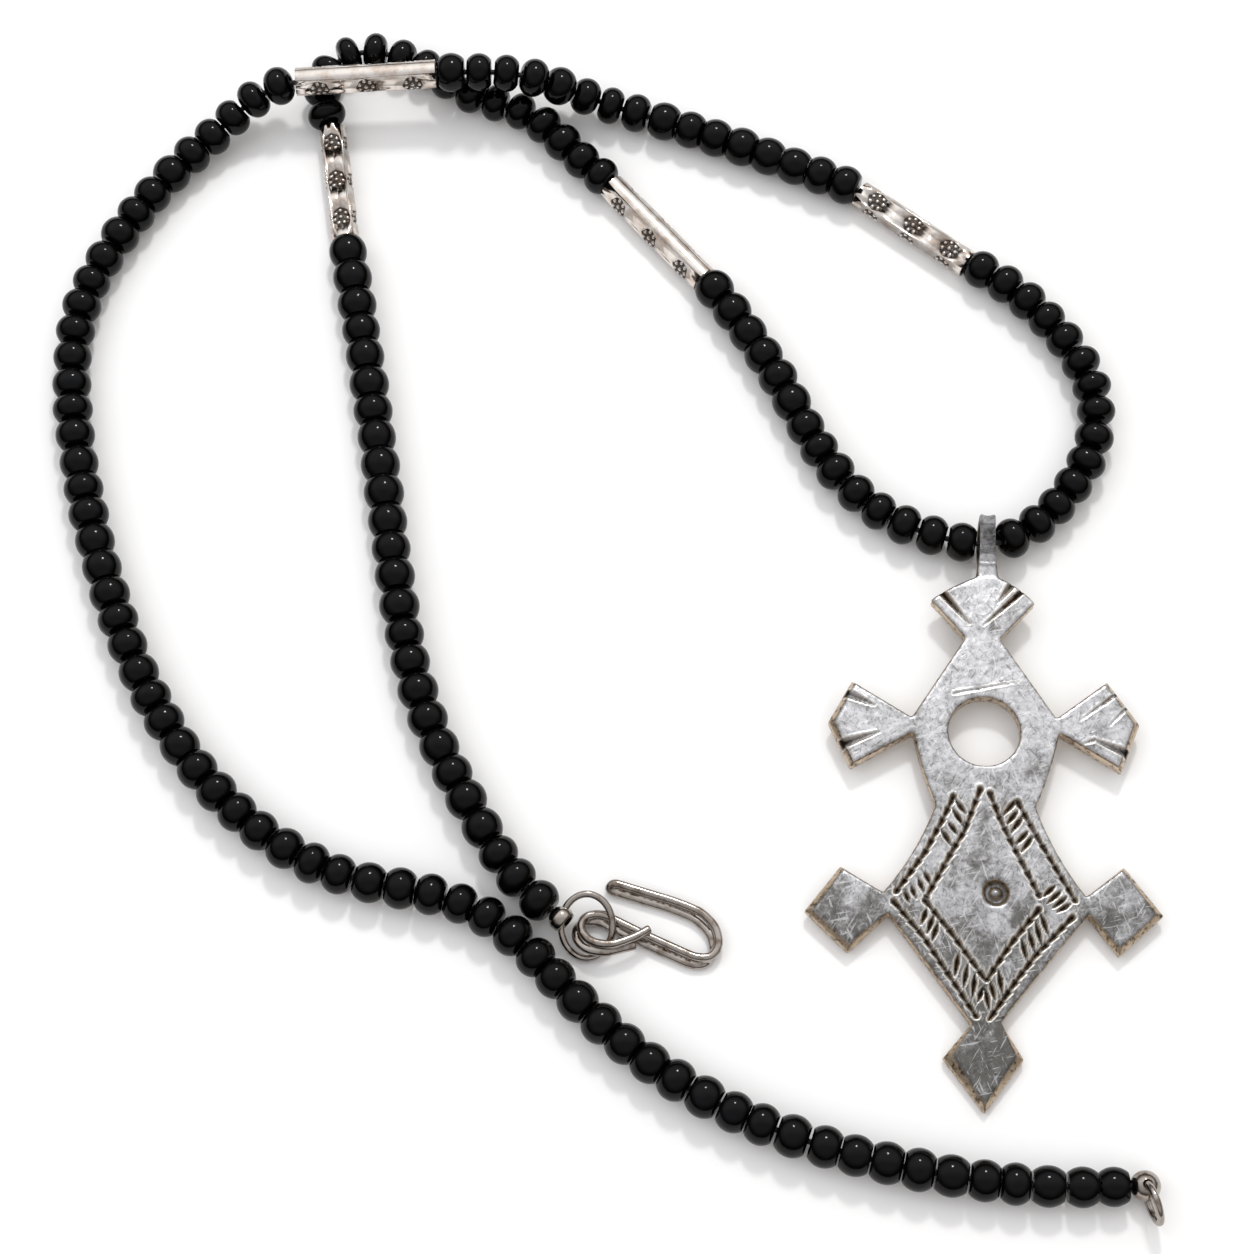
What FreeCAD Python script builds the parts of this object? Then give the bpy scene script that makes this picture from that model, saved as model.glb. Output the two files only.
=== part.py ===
import FreeCAD, Part

import math
import os

# Necklace with a cast silver cross pendant, laid open on a flat surface.
# Millimetres. X runs to the right, Y away from the wearer, Z up from the surface.
# The origin is the centre of the laid necklace's footprint, on the surface.

Vector = FreeCAD.Vector
UP = Vector(0, 0, 1)

doc = FreeCAD.newDocument("cross_pendant_necklace")

# Driving sizes, one named cell each
SIZES = [
    ("bead_diameter", 6.0),
    ("bead_gap", 0.13),
    ("bead_flat_radius", 2.1),
    ("bead_least_flat_radius", 1.0),
    ("bead_bore", 1.7),
    ("thread_diameter", 0.8),
    ("tube_diameter", 4.3),
    ("tube_wall", 0.45),
    ("stamp_depth", 0.3),
    ("plate_thickness", 2.2),
    ("bevel_height", 1.0),
    ("hole_diameter", 10.2),
    ("bail_diameter", 8.0),
    ("bail_bore", 5.4),
    ("bail_width", 2.3),
    ("ring_wire", 1.0),
    ("hook_wire", 1.2),
    ("ball_diameter", 4.2),
    ("cap_diameter", 3.6),
    ("fitting_gap", 0.15),
]

sheet = doc.addObject("Spreadsheet::Sheet", "sizes")
for row, (alias, value) in enumerate(SIZES, start=1):
    sheet.set("A%d" % row, alias)
    sheet.set("B%d" % row, str(value))
    sheet.setAlias("B%d" % row, alias)
doc.recompute()


def size(alias):
    return float(sheet.get(alias))


def bind(item, prop, formula):
    """Tie a property to the sheet; cell names in the formula start with sizes."""
    item.setExpression(prop, formula)


def add(kind, name, **values):
    item = doc.addObject(kind, name)
    for prop, value in values.items():
        setattr(item, prop, value)
    return item


def feature(name, shape):
    item = doc.addObject("Part::Feature", name)
    item.Shape = shape
    return item


# Positions below are measured from a point inside the open necklace; this moves the finished
# pieces so that the origin is the centre of the whole footprint
TO_ORIGIN = Vector(1.95, -1.2, 0.0)

# Where the pendant lies: its lower tip, how it leans in plan, and how far its bail lifts it
TIP_PLACE = Vector(52.5, -76.5, 0.0)
LEAN_DEGREES = 2.6
LIFT_DEGREES = 1.98
PENDANT_PLACE = FreeCAD.Placement(
    TIP_PLACE,
    FreeCAD.Rotation(UP, -LEAN_DEGREES).multiply(FreeCAD.Rotation(Vector(1, 0, 0), LIFT_DEGREES)),
)

# Outline of the plate without its five lobes, in the plate's own frame: across, along.
# A third and fourth number are a point that the edge bulges through on its way here.
PLATE_OUTLINE = [
    (-3.2, 68.6),
    (-8.2, 74.2),
    (-1.8, 78.0, -5.2, 76.3),
    (1.7, 78.1),
    (6.9, 74.3, 4.5, 76.5),
    (1.9, 68.6),
    (9.9, 57.0),
    (10.3, 54.5),
    (7.0, 43.5, 9.0, 49.2),
    (14.0, 30.9, 10.0, 36.9),
    (14.2, 28.3),
    (2.2, 12.6),
    (-2.0, 12.2),
    (-13.5, 27.2),
    (-14.4, 30.3),
    (-7.2, 43.4, -10.2, 36.6),
    (-10.4, 53.6, -9.1, 48.6),
    (-10.7, 56.3),
]

# Lobes: corner across, corner along, and how far the bevel moves that corner at the top face
LOBES = {
    "left_arm": [
        (-9.0, 56.0, 0.0, 0.0),
        (-10.6, 56.2, 0.0, 0.0),
        (-19.3, 61.5, 0.5, -0.6),
        (-22.6, 55.2, 1.0, 0.0),
        (-19.3, 48.4, 0.5, 0.7),
        (-10.6, 53.8, 0.0, 0.2),
        (-9.0, 53.8, 0.0, 0.0),
    ],
    "right_arm": [
        (9.0, 56.8, 0.0, 0.0),
        (9.9, 56.9, 0.0, 0.0),
        (17.3, 63.0, -0.4, -0.6),
        (21.9, 56.7, -1.0, 0.0),
        (19.2, 49.4, -0.5, 0.7),
        (10.4, 54.6, 0.0, 0.2),
        (9.0, 54.6, 0.0, 0.0),
    ],
    "left_foot": [
        (-12.6, 29.6, 0.0, 0.0),
        (-14.4, 30.3, 0.0, 0.0),
        (-20.4, 34.0, 0.5, -0.7),
        (-25.3, 27.3, 1.2, 0.0),
        (-19.1, 21.6, 0.1, 1.1),
        (-13.6, 27.2, 0.0, 0.3),
        (-12.6, 27.4, 0.0, 0.0),
    ],
    "right_foot": [
        (12.6, 30.2, 0.0, 0.0),
        (14.0, 30.9, 0.0, 0.0),
        (19.4, 35.6, -0.4, -0.7),
        (24.86, 28.8, -1.3, 0.0),
        (18.6, 22.7, -0.1, 1.1),
        (14.2, 28.3, 0.0, 0.3),
        (12.6, 28.4, 0.0, 0.0),
    ],
    "kite": [
        (-1.2, 13.4, 0.0, 0.0),
        (-2.0, 12.2, 0.2, 0.0),
        (-5.8, 7.4, 1.4, 0.2),
        (0.0, 0.0, -0.1, 0.9),
        (5.4, 7.6, -1.3, 0.2),
        (2.2, 12.6, 0.0, 0.0),
        (1.4, 13.6, 0.0, 0.0),
    ],
}

HOLE_CENTRE = (-0.35, 54.5)
DOT_CENTRE = (1.35, 30.9)
DOT_RIM_RADIUS = 1.95
DOT_FLOOR_RADIUS = 1.5
DOT_DEPTH = 0.8
BOSS_RADIUS = 1.0
BAIL_CENTRE = Vector(0.0, 84.1, 1.1)
BAIL_GROOVE_WIDTH = 1.3
BAIL_GROOVE_DEPTH = 0.25

# Chain-punched border lines, each a run of corners across, along
PUNCHED_LINES = [
    [(-0.9, 45.9), (-3.1, 39.7), (-5.2, 35.9), (-8.3, 29.9)],
    [(0.5, 45.3), (1.9, 41.6), (3.8, 37.7), (7.4, 30.7)],
    [(-8.5, 29.3), (-5.1, 25.2), (-1.9, 20.9), (0.0, 18.3)],
    [(7.3, 28.7), (4.0, 24.4), (2.5, 22.2), (0.2, 18.5)],
    [(-4.7, 44.6), (-6.0, 41.6), (-8.6, 36.3), (-12.6, 30.4)],
    [(4.4, 44.2), (6.9, 39.6), (8.6, 36.7), (12.4, 30.2)],
    [(-12.9, 29.0), (-8.6, 24.0), (-4.5, 17.9), (-1.3, 13.2)],
    [(12.0, 27.8), (6.8, 22.1), (4.3, 18.6), (0.5, 12.9)],
]
PUNCH_LENGTH = 2.1
PUNCH_OVERLAP = 0.7
PUNCH_WIDTH = 0.95
PUNCH_DEPTH = 0.5

# Chisel hatching between the border lines: from across, along to across, along
HATCHING = [
    (-4.4, 44.2, -2.7, 41.9),
    (-4.9, 43.0, -3.0, 40.1),
    (-5.4, 40.9, -3.9, 38.9),
    (-6.4, 39.8, -4.8, 37.3),
    (4.3, 44.7, 2.1, 42.0),
    (4.4, 43.0, 2.7, 40.7),
    (5.2, 42.3, 3.2, 39.4),
    (5.9, 40.1, 3.9, 37.8),
    (6.6, 39.5, 4.7, 36.7),
    (-8.7, 33.5, -7.7, 31.6),
    (-9.6, 32.6, -8.6, 30.3),
    (-10.6, 31.5, -9.7, 29.4),
    (-11.4, 30.6, -10.7, 28.8),
    (9.6, 32.3, 7.8, 30.5),
    (10.5, 31.6, 8.4, 29.6),
    (11.3, 30.8, 9.1, 28.9),
    (11.8, 29.8, 9.7, 28.4),
    (-8.2, 28.3, -9.1, 25.7),
    (-7.3, 27.3, -8.3, 24.4),
    (-6.7, 26.2, -7.6, 23.4),
    (-3.8, 22.1, -4.4, 18.4),
    (-2.5, 20.6, -3.2, 16.9),
    (-1.5, 19.3, -1.9, 15.6),
    (-0.3, 17.5, -1.2, 15.1),
    (-0.1, 17.3, 0.5, 13.9),
    (0.6, 18.2, 1.3, 15.4),
    (1.7, 20.0, 2.3, 16.2),
    (4.9, 24.5, 5.7, 21.2),
    (5.9, 25.7, 6.8, 22.4),
    (6.8, 27.1, 7.8, 23.4),
    (7.5, 28.3, 8.8, 24.8),
]
CHISEL_WIDTH = 0.9
CHISEL_DEPTH = 0.5

# Wide gouges: start across, along, end across, along, width, depth, place of the widest point
GOUGES = [
    (-6.7, 75.6, -2.4, 70.5, 1.15, 0.7, 0.12),
    (3.6, 77.2, 1.5, 74.1, 1.2, 0.6, 0.12),
    (5.0, 76.1, -0.8, 70.3, 0.85, 0.7, 0.15),
    (-20.6, 59.7, -15.9, 57.6, 1.5, 0.5, 0.15),
    (-21.2, 51.5, -15.2, 53.8, 1.6, 0.6, 0.15),
    (19.0, 61.4, 13.2, 56.6, 0.6, 0.5, 0.3),
    (20.1, 59.2, 17.4, 56.0, 0.5, 0.4, 0.3),
    (21.2, 51.6, 15.0, 54.0, 1.6, 0.6, 0.15),
    (15.3, 53.9, 13.2, 53.0, 0.5, 0.3, 0.3),
    (-4.7, 60.0, 4.9, 62.2, 0.5, 0.3, 0.35),
]


def plan_sketch(name, corners, height=0.0):
    """Closed outline; a corner row of four numbers is reached by an arc."""
    sketch = doc.addObject("Sketcher::SketchObject", name)
    count = len(corners)
    for index in range(count):
        start = corners[index]
        end = corners[(index + 1) % count]
        first = Vector(start[0], start[1], 0)
        last = Vector(end[0], end[1], 0)
        if len(end) == 4:
            arc = Part.Arc(first, Vector(end[2], end[3], 0), last)
            sketch.addGeometry(arc, False)
        else:
            sketch.addGeometry(Part.LineSegment(first, last), False)
    sketch.Placement = FreeCAD.Placement(Vector(0, 0, height), FreeCAD.Rotation())
    return sketch


def bevelled_lobe(name, rows):
    """A lobe of the plate: straight walls up to the bevel, then in to the top face."""
    full = [(row[0], row[1]) for row in rows]
    inset = [(row[0] + row[2], row[1] + row[3]) for row in rows]
    foot = plan_sketch(name + "_foot_line", full)
    shoulder = plan_sketch(name + "_shoulder_line", full)
    bind(shoulder, "Placement.Base.z", "sizes.plate_thickness - sizes.bevel_height")
    top = plan_sketch(name + "_top_line", inset)
    bind(top, "Placement.Base.z", "sizes.plate_thickness")
    return add("Part::Loft", name, Sections=[foot, shoulder, top], Solid=True, Ruled=True)


def chisel_mark(start, end, width, depth, widest, top):
    """A pointed V-shaped cut: a four-sided pyramid standing on its tip under the surface."""
    along = end - start
    side = UP.cross(along)
    side.normalize()
    middle = start + along * widest
    clear = 0.05
    spread = width / 2.0 * (1.0 + clear / depth)
    lid = top + clear
    rim = [
        Vector(start.x, start.y, lid),
        Vector(middle.x - side.x * spread, middle.y - side.y * spread, lid),
        Vector(end.x, end.y, lid),
        Vector(middle.x + side.x * spread, middle.y + side.y * spread, lid),
    ]
    tip = Vector(middle.x, middle.y, top - depth)
    faces = [Part.Face(Part.makePolygon(rim + [rim[0]]))]
    for index in range(4):
        corner = rim[index]
        following = rim[(index + 1) % 4]
        faces.append(Part.Face(Part.makePolygon([corner, following, tip, corner])))
    solid = Part.makeSolid(Part.makeShell(faces))
    if solid.Volume < 0:
        solid.reverse()
    return solid


def punched_line(corners, top):
    """Short pointed punches set end to end along a bent line."""
    marks = []
    for (x0, y0), (x1, y1) in zip(corners, corners[1:]):
        start = Vector(x0, y0, 0)
        run = Vector(x1, y1, 0) - start
        count = max(1, int(round(run.Length / (PUNCH_LENGTH - PUNCH_OVERLAP))))
        step = run * (1.0 / count)
        reach = step * (1.0 + PUNCH_OVERLAP / step.Length)
        for index in range(count):
            place = start + step * index
            marks.append(chisel_mark(place, place + reach, PUNCH_WIDTH, PUNCH_DEPTH, 0.35, top))
    return marks


def engraving(top):
    marks = []
    for corners in PUNCHED_LINES:
        marks += punched_line(corners, top)
    for x0, y0, x1, y1 in HATCHING:
        marks.append(chisel_mark(Vector(x0, y0, 0), Vector(x1, y1, 0), CHISEL_WIDTH, CHISEL_DEPTH, 0.5, top))
    for x0, y0, x1, y1, width, depth, widest in GOUGES:
        marks.append(chisel_mark(Vector(x0, y0, 0), Vector(x1, y1, 0), width, depth, widest, top))
    return marks[0].multiFuse(marks[1:])


def ring_about_x(name, radius_formula, width, centre):
    """A disc whose axis runs across the plate, centred on the bail."""
    disc = doc.addObject("Part::Cylinder", name)
    bind(disc, "Radius", radius_formula)
    disc.Height = width
    start = Vector(centre.x - width / 2.0, centre.y, centre.z)
    disc.Placement = FreeCAD.Placement(start, FreeCAD.Rotation(Vector(0, 1, 0), 90))
    return disc


def cross_pendant():
    plate_line = plan_sketch("plate_line", PLATE_OUTLINE)
    plate = add("Part::Extrusion", "plate", Base=plate_line, DirMode="Custom", Dir=UP, Solid=True)
    bind(plate, "LengthFwd", "sizes.plate_thickness")
    lobes = [bevelled_lobe(name, rows) for name, rows in LOBES.items()]

    width = size("bail_width")
    hoop = ring_about_x("bail_hoop", "sizes.bail_diameter / 2", width, BAIL_CENTRE)
    neck = doc.addObject("Part::Wedge", "bail_neck")
    neck.Xmin, neck.Xmax = -1.75, 1.75
    neck.Zmin, neck.Zmax = -1.1, 1.05
    neck.X2min, neck.X2max = -width / 2.0, width / 2.0
    neck.Z2min, neck.Z2max = -1.0, 1.0
    neck.Ymin, neck.Ymax = 0.0, 4.6
    neck.Placement = FreeCAD.Placement(Vector(0, 77.2, BAIL_CENTRE.z), FreeCAD.Rotation())
    silver = add("Part::MultiFuse", "silver", Shapes=[plate] + lobes + [hoop, neck], Refine=True)

    through = 2.0
    hole = doc.addObject("Part::Cylinder", "round_hole")
    bind(hole, "Radius", "sizes.hole_diameter / 2")
    bind(hole, "Height", "sizes.plate_thickness + 2 * %g" % through)
    hole.Placement.Base = Vector(HOLE_CENTRE[0], HOLE_CENTRE[1], -through)

    bore = ring_about_x("bail_bore", "sizes.bail_bore / 2", 2 * width, BAIL_CENTRE)
    groove_rim = ring_about_x("groove_rim", "sizes.bail_diameter / 2 + 1", BAIL_GROOVE_WIDTH, BAIL_CENTRE)
    groove_core = ring_about_x(
        "groove_core", "sizes.bail_diameter / 2 - %g" % BAIL_GROOVE_DEPTH, 2 * BAIL_GROOVE_WIDTH, BAIL_CENTRE
    )
    groove = add("Part::Cut", "bail_groove", Base=groove_rim, Tool=groove_core)
    guard = add("Part::Box", "groove_guard", Length=6.0, Width=6.0, Height=6.0)
    guard.Placement.Base = Vector(-3.0, BAIL_CENTRE.y - 8.6, -1.5)
    groove_part = add("Part::Cut", "bail_groove_front", Base=groove, Tool=guard)

    pit = add("Part::Cone", "dot_pit", Radius1=DOT_FLOOR_RADIUS, Radius2=DOT_RIM_RADIUS, Height=DOT_DEPTH)
    bind(pit, "Placement.Base.z", "sizes.plate_thickness - %g" % DOT_DEPTH)
    pit.Placement.Base.x = DOT_CENTRE[0]
    pit.Placement.Base.y = DOT_CENTRE[1]
    boss = add("Part::Sphere", "dot_boss", Radius=BOSS_RADIUS)
    bind(boss, "Placement.Base.z", "sizes.plate_thickness - 0.15 - %g" % BOSS_RADIUS)
    boss.Placement.Base.x = DOT_CENTRE[0]
    boss.Placement.Base.y = DOT_CENTRE[1]
    pit_ring = add("Part::Cut", "dot_ring", Base=pit, Tool=boss)

    marks = feature("chisel_marks", engraving(size("plate_thickness")))
    tools = add(
        "Part::MultiFuse", "cutters", Shapes=[hole, bore, groove_part, pit_ring, marks], Refine=False
    )
    pendant = add("Part::Cut", "cross_pendant", Base=silver, Tool=tools, Refine=True)
    pendant.Placement = PENDANT_PLACE
    return pendant


# Routes of the thread between the silver pieces: x, y, height.  All lie on the surface
# except the stretch beside the fourth tube, which climbs over the strand below it.
ROUTES = {
    "cap_to_tube_1": [
        (-6.7, -48.4, 3.0),
        (-10.8, -44.8, 3.0),
        (-17.3, -35.2, 3.0),
        (-25.4, -18.4, 3.0),
        (-29.8, 0.1, 3.0),
        (-32.6, 18.7, 3.0),
        (-35.7, 38.3, 3.0),
        (-39.3, 58.2, 3.0),
    ],
    "tube_1_to_tube_2": [
        (-42.2, 78.3, 3.0),
        (-43.9, 84.2, 3.0),
        (-42.8, 89.1, 3.0),
        (-38.3, 91.8, 3.0),
        (-33.2, 91.2, 3.0),
        (-27.5, 88.8, 3.0),
        (-20.6, 83.9, 3.0),
        (-12.3, 80.8, 3.0),
        (-6.3, 75.4, 3.0),
        (1.2, 68.1, 3.0),
    ],
    "tube_2_to_bail": [
        (15.6, 51.5, 3.0),
        (21.7, 42.6, 3.0),
        (26.5, 34.3, 3.0),
        (30.9, 25.2, 3.0),
        (35.9, 17.3, 3.0),
        (41.7, 12.0, 3.0),
        (49.0, 8.6, 3.0),
        (55.0, 7.4, 3.0),
    ],
    "bail_to_tube_3": [
        (58.0, 7.35, 3.3),
        (62.8, 9.7, 3.0),
        (68.6, 15.5, 3.0),
        (73.0, 23.8, 3.0),
        (73.4, 32.8, 3.0),
        (68.9, 42.2, 3.0),
        (63.7, 48.3, 3.0),
        (55.8, 54.2, 3.0),
    ],
    "tube_3_to_tube_4": [
        (39.3, 66.85, 3.0),
        (29.7, 71.1, 3.0),
        (17.8, 76.0, 3.0),
        (6.0, 80.3, 3.0),
        (1.8, 81.6, 3.2),
        (-5.4, 83.2, 5.7),
        (-11.9, 83.9, 8.5),
        (-19.0, 84.2, 9.1),
        (-25.7, 84.1, 8.9),
    ],
    "tube_4_to_ball": [
        (-47.85, 83.0, 8.15),
        (-53.0, 81.9, 6.4),
        (-59.6, 77.0, 3.7),
        (-66.0, 70.5, 3.0),
        (-72.9, 60.6, 3.0),
        (-78.8, 47.2, 3.0),
        (-79.5, 34.0, 3.0),
        (-76.7, 17.0, 3.0),
        (-72.2, 1.3, 3.0),
        (-65.2, -15.5, 3.0),
        (-55.8, -29.4, 3.0),
        (-45.6, -38.5, 3.0),
        (-33.7, -44.0, 3.0),
        (-21.4, -46.6, 3.0),
        (-14.6, -50.0, 3.0),
        (-4.6, -59.8, 3.0),
        (8.0, -70.8, 3.0),
        (22.8, -78.8, 3.0),
        (39.5, -83.9, 3.0),
        (56.4, -86.6, 3.0),
        (71.3, -86.8, 2.75),
    ],
}

# Beads on each stretch
BEAD_COUNTS = {
    "cap_to_tube_1": 25,
    "tube_1_to_tube_2": 15,
    "tube_2_to_bail": 14,
    "bail_to_tube_3": 14,
    "tube_3_to_tube_4": 16,
    "tube_4_to_ball": 63,
}
# The last beads before the ball are smaller: share of the full diameter, last bead first
END_BEAD_SHARES = [0.9, 0.93, 0.95, 0.97]


def route_curve(points):
    curve = Part.BSplineCurve()
    curve.interpolate([Vector(*point) for point in points])
    return curve


def bead_shares(count, seed):
    """Uneven hand-sorted bead lengths that add up to the whole stretch."""
    weights = []
    for index in range(count):
        wobble = 0.07 * math.sin(2.3 * index + seed) + 0.05 * math.sin(4.7 * index + 2.0 * seed)
        weights.append(1.0 + wobble)
    total = sum(weights)
    return [weight / total for weight in weights]


def bead_stations(name):
    """For each bead its centre, axis, length; and the places where neighbours meet."""
    curve = route_curve(ROUTES[name])
    whole = curve.length()
    count = BEAD_COUNTS[name]
    first = curve.FirstParameter
    stations = []
    joints = [curve.value(first)]
    gone = 0.0
    for share in bead_shares(count, len(name)):
        span = share * whole
        at_start = curve.parameterAtDistance(gone, first)
        at_middle = curve.parameterAtDistance(gone + span / 2.0, first)
        at_end = curve.parameterAtDistance(min(gone + span, whole), first)
        axis = curve.value(at_end) - curve.value(at_start)
        axis.normalize()
        middle = curve.value(at_middle)
        chord_middle = (curve.value(at_start) + curve.value(at_end)) * 0.5
        stations.append(((middle + chord_middle) * 0.5, axis, span))
        joints.append(curve.value(at_end))
        gone += span
    return stations, joints


def bead(centre, axis, length, diameter, flat):
    """A rolled glass bead: round outside, flat where it meets its neighbour, drilled through."""
    half = length / 2.0
    bore = size("bead_bore") / 2.0
    outer = diameter / 2.0
    side = UP.cross(axis)
    side.normalize()
    radial = axis.cross(side)
    radial.normalize()

    def place(along, out):
        return centre + axis * along + radial * out

    edges = [
        Part.LineSegment(place(-half, bore), place(-half, flat)).toShape(),
        Part.Arc(place(-half, flat), place(0, outer), place(half, flat)).toShape(),
        Part.LineSegment(place(half, flat), place(half, bore)).toShape(),
        Part.LineSegment(place(half, bore), place(-half, bore)).toShape(),
    ]
    solid = Part.Face(Part.Wire(edges)).revolve(centre, axis, 360)
    if solid.Volume < 0:
        solid.reverse()
    return solid


def flat_radius(turn):
    """Beads in a tight bend are rounder, with smaller flat ends."""
    return max(size("bead_least_flat_radius"), size("bead_flat_radius") - 1.6 * turn)


def bead_length(distance, turn, diameter, flat):
    """The longest bead that stays clear of a neighbour at this distance, turned this much."""
    free = distance - size("bead_gap")
    slant = math.sin(turn / 2.0)
    depth = diameter / 2.0 - flat
    side_radius = (free - diameter * slant) / (2.0 * (1.0 - slant))
    by_ends = (free - 2.0 * flat * slant) / math.cos(turn / 2.0)
    arc_radius = (depth ** 2 + (by_ends / 2.0) ** 2) / (2.0 * depth)
    rim_slope = math.atan2(arc_radius - depth, by_ends / 2.0)
    if rim_slope > turn / 2.0:
        return by_ends
    by_sides = 2.0 * math.sqrt(2.0 * depth * side_radius - depth ** 2)
    return min(by_sides, by_ends)


def bead_string(name, stretches):
    full = size("bead_diameter")
    beads = []
    for stretch in stretches:
        stations, joints = bead_stations(stretch)
        count = len(stations)
        for index, (centre, axis, span) in enumerate(stations):
            neighbours = stations[max(0, index - 1):index] + stations[index + 1:index + 2]
            turn = max(axis.getAngle(other[1]) for other in neighbours)
            distance = min(span, min((centre - other[0]).Length for other in neighbours))
            share = 1.0 - 0.02 + 0.02 * math.sin(1.7 * index + 1.0)
            from_end = count - 1 - index
            tapered = stretch == "tube_4_to_ball" and from_end < len(END_BEAD_SHARES)
            if tapered:
                share = END_BEAD_SHARES[from_end]
            diameter = full * share
            settled = centre - UP * (full - diameter) * 0.5
            if tapered or settled.z < diameter / 2.0:
                settled.z = diameter / 2.0
            flat = flat_radius(turn)
            length = bead_length(distance, turn, diameter, flat)
            if index in (0, count - 1):
                length -= 0.12
            beads.append(bead(settled, axis, length, diameter, flat))
    return feature(name, Part.makeCompound(beads))


def rounded_path(points, smallest_turn=0.006):
    """Straight runs joined by tangent arcs, each as large as its two runs allow."""
    kept = [points[0]]
    for index in range(1, len(points) - 1):
        before = points[index] - kept[-1]
        after = points[index + 1] - points[index]
        if before.getAngle(after) > smallest_turn:
            kept.append(points[index])
    kept.append(points[-1])
    edges = []
    here = kept[0]
    for index in range(1, len(kept) - 1):
        corner = kept[index]
        back = kept[index - 1] - corner
        ahead = kept[index + 1] - corner
        reach = 0.45 * min(back.Length, ahead.Length)
        half_turn = (math.pi - back.getAngle(ahead)) / 2.0
        radius = reach / math.tan(half_turn)
        back.normalize()
        ahead.normalize()
        start = corner + back * reach
        end = corner + ahead * reach
        inward = back + ahead
        inward.normalize()
        middle = corner + inward * (radius / math.cos(half_turn) - radius)
        edges.append(Part.LineSegment(here, start).toShape())
        edges.append(Part.Arc(start, middle, end).toShape())
        here = end
    edges.append(Part.LineSegment(here, kept[-1]).toShape())
    return Part.Wire(edges)


def swept_wire(points, diameter):
    path = rounded_path(points)
    first = path.Edges[0]
    heading = first.tangentAt(first.FirstParameter)
    section = Part.Wire([Part.makeCircle(diameter / 2.0, points[0], heading)])
    solid = path.makePipeShell([section], True, False)
    if solid.Volume < 0:
        solid.reverse()
    expected = math.pi * diameter ** 2 / 4.0 * path.Length
    print("wire length %.1f mm, volume %.2f, expected %.2f" % (path.Length, solid.Volume, expected))
    return solid


CAP_AXIS = Vector(0.75, -0.66, 0.0)
CAP_START = Vector(-6.6, -48.5, 2.9)
THREAD_IN_CAP = 0.2
BALL_CENTRE = Vector(73.55, -86.7, 2.4)
THREAD_IN_BALL = 1.0


def thread():
    """One thread through every bead and tube, from inside the end cap to inside the ball."""
    points = [CAP_START + CAP_AXIS * THREAD_IN_CAP]
    for stretch in ROUTES:
        stations, joints = bead_stations(stretch)
        points += joints
    points = [points[0]] + points[2:-1]
    left = Vector(-size("ball_diameter") / 2.0, 0, 0)
    points.append(BALL_CENTRE + left + Vector(THREAD_IN_BALL, 0, 0.2))
    return feature("thread", swept_wire(points, size("thread_diameter")))


# Tubes rolled from sheet silver: both ends' centres, and the angle from the top of each
# lengthwise row of flowers, turned about the tube's own direction
TUBES = {
    "tube_bead_1": (Vector(-39.35, 58.35, 2.16), Vector(-42.15, 78.0, 2.16), (-8.0, 82.0, -98.0, 172.0)),
    "tube_bead_2": (Vector(1.35, 67.95, 2.16), Vector(15.45, 51.65, 2.16), (72.0, -82.0, 168.0)),
    "tube_bead_3": (Vector(39.65, 66.6, 2.16), Vector(55.65, 54.35, 2.16), (12.0, 102.0, -80.0, -170.0)),
    "tube_bead_4": (Vector(-47.35, 82.9, 8.33), Vector(-25.85, 84.1, 8.75), (80.0, -76.0, 170.0)),
}
FLOWERS_ALONG = 3
FLOWER_LENGTH = 3.3
FLOWER_WIDTH = 2.9
PETALS = 7
PETAL_RADIUS = 0.37
PETAL_RING = 0.98


def stamped_flower(reach, along, inner):
    """The sunk outline of one stamp and its raised dots, on a tube that runs along Z."""
    half_long = FLOWER_LENGTH / 2.0
    half_wide = FLOWER_WIDTH / 2.0
    outline = [
        (-half_long, 0.0),
        (-half_long * 0.55, half_wide * 0.85),
        (0.0, half_wide),
        (half_long * 0.75, half_wide * 0.75),
        (half_long, 0.0),
        (half_long * 0.75, -half_wide * 0.75),
        (0.0, -half_wide),
        (-half_long * 0.55, -half_wide * 0.85),
    ]
    corners = [Vector(inner, wide, along + long) for long, wide in outline]
    sink = Part.Face(Part.makePolygon(corners + [corners[0]])).extrude(Vector(2.0, 0, 0))
    dots = [Part.makeSphere(PETAL_RADIUS, Vector(reach - PETAL_RADIUS, 0, along))]
    for index in range(PETALS):
        angle = 2.0 * math.pi * index / PETALS
        long = PETAL_RING * 1.1 * math.cos(angle)
        wide = PETAL_RING * math.sin(angle)
        depth = math.sqrt((reach - PETAL_RADIUS) ** 2 - wide ** 2)
        dots.append(Part.makeSphere(PETAL_RADIUS, Vector(depth, wide, along + long)))
    return sink, dots


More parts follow.
